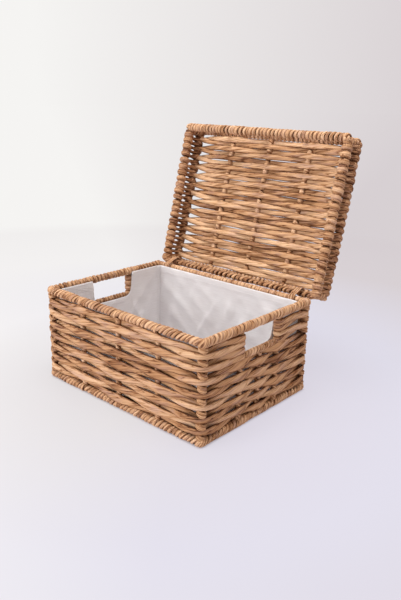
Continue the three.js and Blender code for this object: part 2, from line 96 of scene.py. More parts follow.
# Directions and places that follow from the sizes
UP = np.array((0.0, 0.0, 1.0))
ACROSS = np.array((0.0, 1.0, 0.0))
ALONG = np.array((1.0, 0.0, 0.0))
WALL_X = BOX_LENGTH / 2 - STRAND_REACH
WALL_Y = BOX_WIDTH / 2 - STRAND_REACH
TOP_RIM_Z = BOX_HEIGHT - RIM_RADIUS
BOTTOM_RIM_Z = RIM_RADIUS
HANDLE_POST = HANDLE_WIDTH / 2 + STRAND_REACH
STAKES = (-WALL_X / 2, 0.0, WALL_X / 2)
END_STAKES = (-HANDLE_POST, 0.0, HANDLE_POST)

# The lid, drawn shut with its origin on the hinge axis and then opened
hinge = frame["joints"][0]
LID_TURN = Matrix.Rotation(-math.radians(hinge["range_deg"][1]), 4, "X")
LID_PLACE = Matrix.Translation(hinge["pos_m"]) @ LID_TURN
LID_X = BOX_LENGTH / 2 + LID_OVERHANG - LID_RIM_RADIUS
LID_Y = BOX_WIDTH / 2 + LID_OVERHANG - LID_RIM_RADIUS
LID_MIDDLE = -ACROSS * hinge["pos_m"][1]
LID_LOW_Z = BOX_HEIGHT - hinge["pos_m"][2]
LID_RIM_Z = LID_LOW_Z + CLEARANCE + LID_RIM_RADIUS
LID_WRAP_LIFT = 1.4 * MM      # keeps the wraps of the lid's rim clear of the base when it is shut
LID_WRAP_Z = LID_RIM_Z + LID_WRAP_LIFT
LID_PANEL_Z = LID_LOW_Z + LID_DEPTH - STRAND_REACH
LID_ROW_PITCH = 2 * (LID_Y - STRAND_REACH) / LID_ROWS


def middle_height(node):
    low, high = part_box(node)
    return (low[2] + high[2]) / 2


RAIL_Z = middle_height("handle_rail_winding_right")


# Numbers


def random_for(name):
    """Each piece has its own seeded random numbers, so that a change in one leaves the others alone."""
    return np.random.default_rng(zlib.crc32(name.encode()))


def unit(vectors):
    return vectors / np.linalg.norm(vectors, axis=-1, keepdims=True)


def spread_out(vector, points):
    return np.broadcast_to(vector, points.shape)


def smooth_step(low, high, value):
    part = np.clip((value - low) / (high - low), 0, 1)
    return part * part * (3 - 2 * part)


def wander(rng, positions, period, amplitude):
    """A smooth random curve with a new value about every period. It repeats at the end of positions."""
    length = np.ptp(positions)
    knots = rng.uniform(-1, 1, max(3, round(float(length) / period)))
    place = (positions - positions.min()) / length * len(knots)
    index = np.floor(place).astype(int)
    ease = smooth_step(0, 1, place - index)
    return amplitude * (knots[index % len(knots)] * (1 - ease) + knots[(index + 1) % len(knots)] * ease)


def angles_round(count):
    return np.linspace(0, 2 * math.pi, count, endpoint=False)


def closed(points):
    return np.concatenate((points, points[:1]))


def length_along(points):
    return np.concatenate(([0.0], np.cumsum(np.linalg.norm(np.diff(points, axis=0), axis=1))))


# Meshes


def new_mesh(name, points, faces, map_name, corners):
    mesh = bpy.data.meshes.new(name)
    mesh.from_pydata(points.tolist(), [], faces)
    mesh.uv_layers.new(name=map_name).data.foreach_set("uv", np.array(corners).ravel())
    return mesh


def new_object(name, data):
    thing = bpy.data.objects.new(name, data)
    bpy.context.collection.objects.link(thing)
    return thing


class Piece:
    """Tubes gathered into one mesh, with a map along and round each one and a tone for each stretch."""

    def __init__(self, name):
        self.name = name
        self.rng = random_for(name)
        self.vertices = []
        self.faces = []
        self.maps = []
        self.tones = []
        self.size = 0

    def add_tube(self, rings, tone, edge_shade=EDGE_SHADE, is_loop=False):
        """A skin over rings of points, closed on itself or at both ends."""
        count, sides = rings.shape[:2]
        along = length_along(closed(rings).mean(axis=1))
        girth = np.linalg.norm(rings - np.roll(rings, 1, axis=1), axis=2).sum(axis=1).mean()
        around = np.linspace(0, girth, sides + 1)
        # Painted shade: the tone falls towards the two narrow edges of each ring, where neighbouring
        # strands meet
        edges = np.cos(angles_round(sides)) ** 6
        for band in range(count if is_loop else count - 1):
            near = self.size + band * sides
            far = self.size + (band + 1) % count * sides
            for side in range(sides):
                after = (side + 1) % sides
                self.faces.append((near + side, near + after, far + after, far + side))
                self.maps += (
                    (along[band], around[side]), (along[band], around[side + 1]),
                    (along[band + 1], around[side + 1]), (along[band + 1], around[side]))
        if not is_loop:
            for ring, flip in ((0, -1), (count - 1, 1)):
                corners = range(sides)[::flip]
                self.faces.append(tuple(self.size + ring * sides + corner for corner in corners))
                self.maps += [(along[ring], around[corner]) for corner in corners]
        self.vertices.append(rings.reshape(-1, 3))
        self.tones.append((np.broadcast_to(tone, count)[:, None] - edge_shade * edges).ravel())
        self.size += count * sides

    def build(self, body, material, nodes=()):
        points = np.concatenate(self.vertices)
        mesh = new_mesh(self.name, points, self.faces, "strand", self.maps)
        tones = mesh.attributes.new("tone", "FLOAT", "POINT")
        tones.data.foreach_set("value", np.concatenate(self.tones))
        return finish_piece(self.name, mesh, body, material, nodes)


def finish_piece(name, mesh, body, material, nodes):
    if body == "lid":
        mesh.transform(LID_PLACE)
    mesh.polygons.foreach_set("use_smooth", [True] * len(mesh.polygons))
    mesh.materials.append(material)
    piece = new_object(name, mesh)
    if body:
        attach(piece, body)
    if nodes:
        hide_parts(*nodes)
    return piece


def oval_rings(centres, wide, half_wide, thick, half_thick, sides, creases=1.0):
    """Oval rings round the centres. Wide and thick are one direction for all or one for each ring.
    Creases scales the thickness at each point of each ring."""
    angles = angles_round(sides)
    along_wide = np.multiply.outer(np.broadcast_to(half_wide, len(centres)), np.cos(angles))
    along_thick = np.multiply.outer(np.broadcast_to(half_thick, len(centres)), np.sin(angles)) * creases
    across = spread_out(wide, centres)[:, None] * along_wide[..., None]
    through = spread_out(thick, centres)[:, None] * along_thick[..., None]
    return centres[:, None] + across + through


def stalk_creases(rng, distances, sides, depth, count=6):
    """Lengthwise creases of a dried stalk, which wander slowly round it."""
    angles = angles_round(sides)
    creases = np.ones((len(distances), sides))
    for place in rng.permutation(count) * 2 * math.pi / count:
        drift = place + rng.uniform(0, 0.6) + wander(rng, distances, 0.07, 0.5)
        apart = np.angle(np.exp(1j * (angles[None] - drift[:, None])))
        creases -= depth * rng.uniform(0.4, 1.0) * np.exp(-(apart / 0.3) ** 2)
    return creases


# Routes along the wires


class Side:
    """One side of a wire loop, measured from its middle, that goes on round the corner at both ends.
    Round a corner, distances are measured at the given reach outside the wire."""

    def __init__(self, along, out, half_along, half_out, middle, bend, reach):
        self.along = along
        self.out = out
        self.half_out = half_out
        self.middle = middle
        self.bend = bend
        self.measured = bend + reach
        self.straight = half_along - bend
        self.corner = self.straight + self.measured * math.pi / 4

    def place(self, distances):
        distances = np.asarray(distances, float)
        on_straight = np.clip(distances, -self.straight, self.straight)
        turn = ((distances - on_straight) / self.measured)[..., None]
        out = self.out * np.cos(turn) + self.along * np.sin(turn)
        points = (self.middle + self.along * on_straight[..., None]
                  + self.out * (self.half_out - self.bend) + out * self.bend)
        return points, out

    def level_at(self, post):
        return 0.0 if abs(post) > self.straight else 1.0


def wire_loop(half_x, half_y, middle, bend=CORNER_RADIUS, reach=0.0):
    return {
        "front": Side(ALONG, -ACROSS, half_x, half_y, middle, bend, reach),
        "right": Side(ACROSS, ALONG, half_y, half_x, middle, bend, reach),
        "rear": Side(-ALONG, ACROSS, half_x, half_y, middle, bend, reach),
        "left": Side(-ACROSS, -ALONG, half_y, half_x, middle, bend, reach),
    }


def posts_of(name, side):
    between = STAKES if name in ("front", "rear") else END_STAKES
    return (-side.corner, *between, side.corner)


def corner_points(loop):
    return [side.place(side.corner)[0] for side in loop.values()]


def straight_rod(start, along, out):
    """Places along a straight rod, with distances measured from its start."""

    def place(distances):
        points = start + along * np.asarray(distances, float)[..., None]
        return points, spread_out(out, points)

    return place


@dataclass
class Weave:
    """Sizes of one kind of weave. The strands of a pair run side by side, lifted off its middle. They
    swell where they pass a post on the side of out, and on the other side by the back swell."""

    beside: np.ndarray
    offset: float
    lift: float
    swell: float
    back_swell: float


COURSE_PITCH = middle_height("course_2_strand") - middle_height("course_1_strand")
WALL_WEAVE = Weave(UP, 4.7 * MM, COURSE_PITCH / 4, 3.0 * MM, 1.2 * MM)
LID_WEAVE = Weave(ACROSS, 4.2 * MM, LID_ROW_PITCH / 4, 0.8 * MM, 0.8 * MM)


class Route:
    """Stations of a pair of strands: a point on the wall, the way out of it, the changes of side made
    so far, the share of its full lift that a strand has, and 1 where both stay on the side of out."""

    def __init__(self):
        self.stations = []

    def add(self, points, outs, changes, levels, outward=0.0):
        values = [np.broadcast_to(value, len(points)) for value in (changes, levels, outward)]
        self.stations.append((points, outs, *values))

    def add_bay(self, place, start, end, changes, levels, outward=(0.0, 0.0)):
        part = (1 - np.cos(np.linspace(0, math.pi, BAY_STEPS, endpoint=False))) / 2
        points, outs = place(start + (end - start) * part)
        early_drop = (1 - levels[0]) * (1 - smooth_step(0, 0.5, part))
        late_drop = (1 - levels[1]) * smooth_step(0.5, 1, part)
        early_out = outward[0] * (1 - smooth_step(0, 0.65, part))
        late_out = outward[1] * smooth_step(0.35, 1, part)
        change = changes[0] + (changes[1] - changes[0]) * part
        self.add(points, outs, change, 1 - early_drop - late_drop, early_out + late_out)

    def add_side(self, name, side, changes):
        """All bays of a side, with a change of side in each. Gives the changes made so far."""
        posts = posts_of(name, side)
        for start, end in zip(posts, posts[1:]):
            levels = (side.level_at(start), side.level_at(end))
            self.add_bay(side.place, start, end, (changes, changes + 1), levels)
            changes += 1
        return changes

    def arrays(self):
        return [np.concatenate(values) for values in zip(*self.stations)]


def add_pair(piece, route, weave, first_row, is_loop):
    """Both strands of a pair. First row is 1 if the first strand runs above the other, and -1 below."""
    rng = piece.rng
    points, outs, changes, levels, outward = route.arrays()
    distances = length_along(points)
    for is_second, row in ((0, first_row), (1, -first_row)):
        side = np.cos(math.pi * (changes + is_second)) * (1 - outward) + outward
        offset = weave.offset * side + wander(rng, distances, 0.05, 0.4 * MM)
        lift = row * weave.lift * levels + wander(rng, distances, 0.06, 1.1 * MM)
        centres = points + outs * offset[:, None] + weave.beside * lift[:, None]

        roll = wander(rng, distances, 0.05, 0.2)[:, None]
        thick = outs * np.cos(roll) - weave.beside * np.sin(roll)
        wide = weave.beside * np.cos(roll) + outs * np.sin(roll)
        swell = np.where(side > 0, weave.swell, weave.back_swell) * side ** 2 * levels * (1 - outward)
        half_wide = (STRAND_FILL * weave.lift + swell) * (1 + wander(rng, distances, 0.05, 0.16))
        half_thick = STRAND_HALF_THICKNESS * (1 + wander(rng, distances, 0.03, 0.12))
        creases = stalk_creases(rng, distances, STRAND_SIDES, STRAND_CREASE)
        rings = oval_rings(centres, wide, half_wide, thick, half_thick, STRAND_SIDES, creases)
        tone = rng.uniform(0.3, 0.7) + wander(rng, distances, 0.09, 0.35)
        piece.add_tube(rings, np.clip(tone, 0, 1), is_loop=is_loop)


# Wrapping


CORE_STEP = 4 * MM
# Painted shade: the core's tone lies below the fibre's range, so the gaps between turns look dark
CORE_SHADE_TONE = -0.5
CORE_DEPTH = 1.35             # how deep the core lies, in half thicknesses of the strip


@dataclass
class Wrap:
    """Sizes and tone of a strip that is wound round a rod. Lean shears its turns along the rod, uneven
    is how much they vary, and cover is the share of the pitch that the strip fills."""

    radius: float
    pitch: float
    half_thickness: float
    lean: float = 0.25
    uneven: float = 0.12
    cover: float = 0.95
    tone: float = 0.52


def rod_frame(place, distances):
    points, outs = place(distances)
    along = unit(place(distances + MM)[0] - place(distances - MM)[0])
    return points, outs, along


def add_core(piece, place, start, end, radius):
    """The rod under a wrapping, drawn in the darkest tone: painted shade in the gaps between turns."""
    stations = max(2, int((end - start) / CORE_STEP))
    points, outs, along = rod_frame(place, np.linspace(start, end, stations))
    rings = oval_rings(points, np.cross(along, outs), radius, outs, radius, CORE_SIDES)
    piece.add_tube(rings, CORE_SHADE_TONE)


def add_wrapping(piece, place, start, end, wrap):
    """A strip wound round the rod that place follows, and the rod's core under it."""
    rng = piece.rng
    turns = max(1, round((end - start) / wrap.pitch))
    pitch = (end - start) / turns
    steps = np.arange(turns * WRAP_STEPS + 1)
    angle = 2 * math.pi * steps / WRAP_STEPS
    middle = start + pitch * steps / WRAP_STEPS
    middle = middle + wander(rng, middle, 2.3 * pitch, wrap.uneven * pitch)
    lean = wrap.lean * (1 + wander(rng, middle, 3 * pitch, 0.5))
    middle = np.clip(middle - lean * wrap.radius * np.cos(angle), start, end)
    points, outs, along = rod_frame(place, middle)
    radial = np.cross(along, outs) * np.cos(angle)[:, None] + outs * np.sin(angle)[:, None]
    swell = wander(rng, middle, 1.7 * pitch, 0.5 * wrap.uneven)
    radius = wrap.radius * (1 + swell) - wrap.half_thickness
    half_width = wrap.pitch * wrap.cover / 2 * (1 + wander(rng, middle, 1.1 * pitch, wrap.uneven))
    creases = stalk_creases(rng, middle - start, WRAP_SIDES, 0.15, 3)
    centres = points + radial * radius[:, None]
    rings = oval_rings(centres, along, half_width, radial, wrap.half_thickness, WRAP_SIDES, creases)
    tone = wrap.tone + rng.uniform(-0.08, 0.08) + wander(rng, middle, 1.3 * pitch, 0.25)
    piece.add_tube(rings, np.clip(tone, 0, 1), WRAP_EDGE_SHADE)
    add_core(piece, place, start, end, wrap.radius - CORE_DEPTH * wrap.half_thickness)


def build_wrapped_rod(name, body, node, rod, span, wrap):
    """A wrapped rod, along its span, that stands for one CAD node."""
    piece = Piece(name)
    add_wrapping(piece, rod, *span, wrap)
    piece.build(body, STRIP, [node])


# Materials


def new_material(name):
    material = bpy.data.materials.new(name)
    material.use_nodes = True
    tree = material.node_tree
    return material, tree, tree.nodes["Principled BSDF"]


def set_inputs(node, values):
    """Link inputs of a node to other nodes, or set them. Colours are opaque."""
    for key, value in values.items():
        socket = node.inputs[key]
        if isinstance(value, bpy.types.NodeSocket):
            node.id_data.links.new(value, socket)
        elif socket.type == "RGBA":
            socket.default_value = (*value, 1.0)
        else:
            socket.default_value = value


def add_node(kind, socket):
    """A new shader node in the tree that a socket belongs to."""
    return socket.id_data.nodes.new(f"ShaderNode{kind}")


def link_map(tree, name):
    node = tree.nodes.new("ShaderNodeUVMap")
    node.uv_map = name
    return node.outputs[0]


def link_apart(vector):
    node = add_node("SeparateXYZ", vector)
    set_inputs(node, {0: vector})
    return node.outputs


def link_math(operation, *values):
    node = add_node("Math", values[0])
    node.operation = operation
    set_inputs(node, dict(enumerate(values)))
    return node.outputs[0]


def link_mix(factor, first, second):
    node = add_node("Mix", factor)
    node.data_type = "RGBA"
    set_inputs(node, {0: factor, 6: first, 7: second})
    return node.outputs[2]


def link_ramp(factor, colours):
    node = add_node("ValToRGB", factor)
    elements = node.color_ramp.elements
    while len(elements) < len(colours):
        elements.new(0.5)
    for element, position, colour in zip(elements, SHADE_STOPS, colours):
        element.position = position
        element.color = (*colour, 1.0)
    set_inputs(node, {0: factor})
    return node.outputs[0]


def link_noise(coordinates, stretch, detail=3.0):
    mapping = add_node("Mapping", coordinates)
    set_inputs(mapping, {"Vector": coordinates, "Scale": stretch})
    noise = add_node("TexNoise", coordinates)
    set_inputs(noise, {"Vector": mapping.outputs[0], "Scale": 1.0, "Detail": detail})
    return noise.outputs["Fac"]


def link_range(value, low, high, to_low=0.0, to_high=1.0):
    node = add_node("MapRange", value)
    set_inputs(node, {
        "Value": value, "From Min": low, "From Max": high, "To Min": to_low, "To Max": to_high})
    return node.outputs["Result"]


def link_bump(height, strength, distance):
    bump = add_node("Bump", height)
    set_inputs(bump, {"Height": height, "Strength": strength, "Distance": distance})
    return bump.outputs[0]


FIBRE_TWIST = 0.15            # slope of the fibres round a strand
SHADE_STOPS = (0.0, 0.3, 0.58, 0.9)
DULL_FIBRE = ((0.03, 0.01, 0.005), (0.15, 0.07, 0.045), (0.36, 0.195, 0.135), (0.6, 0.38, 0.28))


def fibre_material(name, middle, light):
    """Dried plant fibre: streaks and creases along it, a tone for each stretch, and duller patches. The
    creases are drawn darker: painted shade.
    """
    material, tree, shader = new_material(name)
    attribute = tree.nodes.new("ShaderNodeAttribute")
    attribute.attribute_name = "tone"
    tone = attribute.outputs["Fac"]
    apart = link_apart(link_map(tree, "strand"))
    twisted = link_math("MULTIPLY_ADD", apart["X"], FIBRE_TWIST, apart["Y"])
    joined = tree.nodes.new("ShaderNodeCombineXYZ")
    set_inputs(joined, {"X": apart["X"], "Y": twisted, "Z": tone})
    place = joined.outputs[0]

    streaks = link_noise(place, (20.0, 420.0, 3.0), 4.0)
    fibres = link_noise(place, (60.0, 3200.0, 5.0), 2.0)
    patches = link_noise(place, (24.0, 120.0, 4.0))
    folds = link_noise(place, (12.0, 300.0, 2.0), 1.0)
    away = link_math("ABSOLUTE", link_math("SUBTRACT", folds, 0.5))
    crease = link_range(away, 0.0, 0.05, 1.0, 0.0)
    shade = link_range(streaks, 0.25, 0.75, 0.24, 0.66)
    shade = link_math("MULTIPLY_ADD", tone, 0.5, shade)
    # Painted shade: darker lines in the creases
    shade = link_math("SUBTRACT", shade, link_math("MULTIPLY", crease, 0.4))
    colour = link_ramp(shade, ((0.03, 0.009, 0.003), (0.23, 0.09, 0.035), middle, light))
    dull = link_range(patches, 0.5, 0.66, 0.0, 0.75)
    colour = link_mix(dull, colour, link_ramp(shade, DULL_FIBRE))
    relief = link_math("MULTIPLY_ADD", fibres, 0.4, streaks)
    relief = link_math("SUBTRACT", relief, link_math("MULTIPLY", crease, 0.6))
    set_inputs(shader, {
        "Base Color": colour,
        "Roughness": link_range(streaks, 0.3, 0.7, 0.72, 0.5),
        "Specular IOR Level": 0.12,
        "Normal": link_bump(relief, 0.6, 0.7 * MM),
    })
    return material


def wire_material():
    """Drawn steel wire with a dark skin and a little rust."""
    material, tree, shader = new_material("wire")
    place = tree.nodes.new("ShaderNodeTexCoord").outputs["Object"]
    spots = link_noise(place, (300.0, 300.0, 300.0))
    rust = link_range(spots, 0.5, 0.7)
    colour = link_mix(rust, (0.06, 0.052, 0.046), (0.13, 0.07, 0.04))
    roughness = link_range(spots, 0.3, 0.7, 0.4, 0.7)
    set_inputs(shader, {"Base Color": colour, "Roughness": roughness, "Metallic": 0.8})
    return material


def cotton_material():
    """Plain-woven cotton: two sets of threads, slubs, and a slight sheen."""
    material, tree, shader = new_material("cotton")
    place = link_map(tree, "cloth")
    threads = []
    for direction in ("X", "Y"):
        wave = tree.nodes.new("ShaderNodeTexWave")
        wave.bands_direction = direction
        set_inputs(wave, {"Vector": place, "Scale": 320.0, "Distortion": 0.6, "Detail": 1.0})
        threads.append(wave.outputs["Fac"])
    slubs = link_noise(place, (40.0, 700.0, 1.0))
    clouds = link_noise(place, (14.0, 14.0, 1.0))
    shade = link_math("MULTIPLY", link_math("ADD", slubs, clouds), 0.5)
    cloudy = link_range(shade, 0.35, 0.65)
    colour = link_mix(cloudy, (0.66, 0.63, 0.64), (0.76, 0.745, 0.76))
    weave = link_math("MULTIPLY", *threads)
    set_inputs(shader, {
        "Base Color": colour,
        "Roughness": 0.9,
        "Sheen Weight": 0.15,
        "Subsurface Weight": 0.6,
        "Subsurface Radius": (1.0, 1.0, 1.0),
        "Subsurface Scale": 2 * MM,
        "Normal": link_bump(link_math("ADD", weave, slubs), 0.25, 0.3 * MM),
    })
    return material


STRAND = fibre_material("strand_fibre", (0.53, 0.29, 0.142), (0.73, 0.475, 0.285))
LID_STRAND = fibre_material("lid_strand_fibre", (0.54, 0.295, 0.145), (0.8, 0.525, 0.32))
STRIP = fibre_material("wrapping_strip", (0.54, 0.3, 0.155), (0.8, 0.53, 0.33))
WIRE = wire_material()
COTTON = cotton_material()


# Base


def build_ring_course(course):
    node = f"course_{course}_strand"
    loop = wire_loop(WALL_X, WALL_Y, UP * middle_height(node))
    route = Route()
    changes = 0
    for side_name, side in loop.items():
        changes = route.add_side(side_name, side, changes)
    piece = Piece(f"course_{course}_weave")
    add_pair(piece, route, WALL_WEAVE, -1, True)
    piece.build("base", STRAND, [node])


def turn_round_post(side, post, way):
    """Stations of strands that go round a handle post and end behind the wall."""
    point, out = side.place(post)
    angle = np.linspace(0, math.pi, 7)[:, None]
    turn_outs = out * np.cos(angle) + side.along * way * np.sin(angle)
    tail_points, tail_outs = side.place(post - way * np.array((6, 12, 18)) * MM)
    points = np.concatenate((spread_out(point, turn_outs), tail_points))
    return points, np.concatenate((turn_outs, -tail_outs))


def build_handle_course(course, half):
    """A course from one hand hole round a long side to the other."""
    node = f"course_{course}_{half}_strand"
    loop = wire_loop(WALL_X, WALL_Y, UP * middle_height(node))
    is_front = half == "front"
    first, last = (loop["left"], loop["right"]) if is_front else (loop["right"], loop["left"])
    route = Route()
    points, outs = turn_round_post(first, HANDLE_POST, -1)
    route.add(points[::-1], outs[::-1], -0.5, 1.0, 1.0)
    route.add_bay(first.place, HANDLE_POST, first.corner, (-0.5, 0), (1.0, 0.0), (1.0, 0.0))
    bays = route.add_side(half, loop[half], 0)
    route.add_bay(last.place, -last.corner, -HANDLE_POST, (bays, bays + 0.5), (0.0, 1.0), (0.0, 1.0))
    points, outs = turn_round_post(last, -HANDLE_POST, 1)
    route.add(points, outs, bays + 0.5, 1.0, 1.0)
    piece = Piece(f"course_{course}_{half}_weave")
    add_pair(piece, route, WALL_WEAVE, -1 if is_front else 1, False)
    piece.build("base", STRAND, [node])


def build_corner_posts():
    """A bead of fibre round each corner post between neighbouring courses."""
    nodes = [f"course_{course}_strand" for course in RING_COURSES]
    nodes += [f"course_{course}_front_strand" for course in HANDLE_COURSES]
    heights = [middle_height(node) for node in nodes]
    heights = [heights[0] - COURSE_PITCH, *heights, heights[-1] + COURSE_PITCH]
    levels = [(low + high) / 2 for low, high in zip(heights, heights[1:])]
    loop = wire_loop(WALL_X, WALL_Y, UP * 0)
    sleeve = Wrap(3.2 * MM, 5.0 * MM, 0.8 * MM)
    half_bead = 4.6 * MM
    bead_radius = 8.6 * MM
    for number, corner in enumerate(corner_points(loop), 1):
        piece = Piece(f"corner_post_{number}_beads")
        out = unit(corner * (1, 1, 0))
        add_wrapping(piece, straight_rod(corner, UP, out), BOTTOM_RIM_Z, TOP_RIM_Z, sleeve)
        rod = straight_rod(corner + out * 0.6 * MM, UP, out)
        for level in levels:
            radius = bead_radius * piece.rng.uniform(0.93, 1.05)
            bead = Wrap(radius, half_bead, 2.9 * MM, lean=0.2, cover=1.5)
            add_wrapping(piece, rod, level - half_bead, level + half_bead, bead)
        piece.build("base", STRAND, [f"base_corner_post_{number}"])


def build_rims():
    full = RIM_RADIUS * 1.03
    thin = RIM_RADIUS * 0.8
    end_wrap = Wrap(full, 9.0 * MM, 2.6 * MM, lean=0.3, uneven=0.14, cover=0.97, tone=0.54)
    wraps = {
        "front": Wrap(full, 8.8 * MM, 2.3 * MM, lean=0.4, uneven=0.2, cover=0.98, tone=0.55),
        "rear": Wrap(thin, 9.0 * MM, 1.1 * MM, lean=0.3, uneven=0.06, cover=1.05),
        "right": end_wrap,
        "left": end_wrap,
    }
    bottom = Wrap(RIM_RADIUS, 8.8 * MM, 2.4 * MM, lean=0.35, uneven=0.2, cover=0.98)
    levels = (("top", TOP_RIM_Z, wraps), ("bottom", BOTTOM_RIM_Z, dict.fromkeys(wraps, bottom)))
    for level, height, level_wraps in levels:
        loop = wire_loop(WALL_X, WALL_Y, UP * height, RIM_CORNER_RADIUS, RIM_RADIUS)
        for side_name, side in loop.items():
            build_wrapped_rod(
                f"{level}_rim_wrapping_{side_name}", "base", f"{level}_rim_winding_{side_name}",
                side.place, (-side.corner, side.corner), level_wraps[side_name])


def build_rails():
    """The wrapped rail under each hand hole, which runs on past the handle posts."""
    loop = wire_loop(WALL_X, WALL_Y, UP * RAIL_Z)
    wrap = Wrap(RAIL_RADIUS * 1.05, 7.4 * MM, 2.2 * MM, lean=0.35)
    end = HANDLE_POST + 6 * MM
    for side_name in ("right", "left"):
        build_wrapped_rod(
            f"handle_rail_wrapping_{side_name}", "base", f"handle_rail_winding_{side_name}",
            loop[side_name].place, (-end, end), wrap)


def build_stake_wraps():
    """Narrow strip round the stakes and handle posts, and loops of it that tie each one to the bottom
    rim and the front ones to the top rim. The stake in the middle of an end stops at the rail."""
    loop = wire_loop(WALL_X, WALL_Y, UP * 0)
    wrap = Wrap(5.2 * MM, 13.0 * MM, 2.0 * MM, lean=0.3, cover=1.0)
    tie_reach = 1.0 * MM
    tie = Wrap(RIM_RADIUS + tie_reach, 6.5 * MM, 1.3 * MM, lean=0.1)
    piece = Piece("stake_wraps")
    for side_name, side in loop.items():
        for post in posts_of(side_name, side)[1:-1]:
            point, out = side.place(post)
            is_short = side_name in ("right", "left") and post == 0
            top_z = RAIL_Z if is_short else TOP_RIM_Z
            add_wrapping(piece, straight_rod(point, UP, out), BOTTOM_RIM_Z, top_z, wrap)
            tie_heights = [BOTTOM_RIM_Z + tie_reach]
            if side_name == "front":
                tie_heights.append(TOP_RIM_Z - tie_reach)
            for z in tie_heights:
                rod = straight_rod(point + UP * z, side.along, out)
                add_wrapping(piece, rod, -tie.pitch / 2, tie.pitch / 2, tie)
    piece.build("base", STRIP)


def build_floor():
    """Strands side by side across the floor, four at a time over and under the floor wires in turn."""
    piece = Piece("floor_weave")
    rng = piece.rng
    low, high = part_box("floor_strand")
    strands = FLOOR_ROWS * FLOOR_ROW_STRANDS
    pitch = (high[1] - low[1]) / strands
    half_thick = 2.2 * MM
    half_wave = 4.9 * MM
    xs = np.linspace(low[0], high[0], 60)
    for strand in range(strands):
        way = (-1) ** (strand // FLOOR_ROW_STRANDS)
        heights = BOTTOM_RIM_Z + half_wave * way * np.cos(math.pi * (xs + LAP) / (WALL_X / 2))
        ys = low[1] + (strand + 0.5) * pitch + wander(rng, xs, 0.08, 0.5 * MM)
        centres = np.stack((xs, ys, heights), axis=1)
        creases = stalk_creases(rng, xs - xs[0], STRAND_SIDES, 0.25)
        rings = oval_rings(centres, -ACROSS, pitch / 2, UP, half_thick, STRAND_SIDES, creases)
        rings[..., 2] = np.maximum(rings[..., 2], 0.0)
        tone = rng.uniform(0.2, 0.7) + wander(rng, xs, 0.09, 0.25)
        piece.add_tube(rings, np.clip(tone, 0, 1))
    piece.build("base", STRAND, ["floor_strand"])


# Lid


def build_lid_rows():
    posts = (-LID_X, *STAKES, LID_X)
    levels = (0.0, 1.0, 1.0, 1.0, 0.0)
    for row in range(LID_ROWS):
        node = f"lid_row_{row + 1:02d}"
        middle = LID_MIDDLE + ACROSS * (row - (LID_ROWS - 1) / 2) * LID_ROW_PITCH + UP * LID_PANEL_Z
        place = straight_rod(middle, ALONG, UP)
        route = Route()
        for bay in range(len(posts) - 1):
            route.add_bay(place, posts[bay], posts[bay + 1], (bay, bay + 1), levels[bay:bay + 2])
        points, outs = place(np.array((LID_X,)))
        route.add(points, outs, float(len(posts) - 1), 0.0)
        piece = Piece(f"{node}_weave")
        add_pair(piece, route, LID_WEAVE, -1, False)
        piece.build("lid", LID_STRAND, [node])


def build_lid_sides():
    """Thick turns round the rim rod and the panel's edge rod, and a strip laced between the two."""
    beads = 2 * LID_ROWS
    steps = 28
    half_thick = 2.6 * MM
    inset = 0.8 * MM
    half_gap = (LID_PANEL_Z - LID_RIM_Z) / 2
    middle_z = (LID_PANEL_Z + LID_RIM_Z) / 2
    radius = STRAND_REACH - half_thick - inset
    bead_growth = 1.8 * MM
    half_span = LID_Y - RIM_CORNER_RADIUS
    pitch = 2 * half_span / beads
    turn = 2 * math.pi * np.arange(beads * steps + 1) / steps
    travel = half_span * (2 * turn / turn[-1] - 1)
    for side_name, sign in (("right", 1), ("left", -1)):
        piece = Piece(f"lid_side_lacing_{side_name}")
        rng = piece.rng
        lean = 0.25 * pitch * np.sin(turn) + wander(rng, travel, 0.015, 0.15 * pitch)
        ys = LID_MIDDLE[1] + np.clip(travel + lean, -half_span, half_span)
        swell = 1 + wander(rng, travel, 0.013, 0.12)
        centres = np.stack((sign * LID_X + radius * swell * np.sin(2 * turn), ys,
                            middle_z + (half_gap + radius * swell) * np.cos(turn)), axis=1)
        forward = unit(np.gradient(centres, axis=0) * (1, 0, 1))
        half_wide = pitch / 2 * (0.66 + wander(rng, travel, 0.012, 0.1))
        creases = stalk_creases(rng, travel + half_span, WRAP_SIDES, 0.2, 3)
        thick = np.cross(forward, ACROSS)
        rings = oval_rings(centres, ACROSS, half_wide, thick, half_thick, WRAP_SIDES, creases)
        # Painted shade: the lacing gets a low tone, as the lid's sides stand in shade
        tone = rng.uniform(0.1, 0.2) + wander(rng, travel, 0.014, 0.3)
        piece.add_tube(rings, np.clip(tone, 0, 1))
        # Painted shade: the beads are drawn darker than the other strip, those on the panel's edge
        # darkest
        rods = ((LID_WRAP_Z + bead_growth, LID_RIM_RADIUS, 0.32),
                (LID_PANEL_Z - bead_growth, STRAND_REACH, 0.12))
        for z, rod_radius, shaded_bead_tone in rods:
            rod = straight_rod(LID_MIDDLE + ALONG * sign * LID_X + UP * z, ACROSS, UP)
            bead_radius = rod_radius + bead_growth
            wrap = Wrap(bead_radius, 1.36 * pitch, 5.6 * MM, uneven=0.18, cover=0.98, tone=shaded_bead_tone)
            add_wrapping(piece, rod, -half_span, half_span, wrap)
        piece.build("lid", STRIP, [f"lid_rim_winding_{side_name}"])


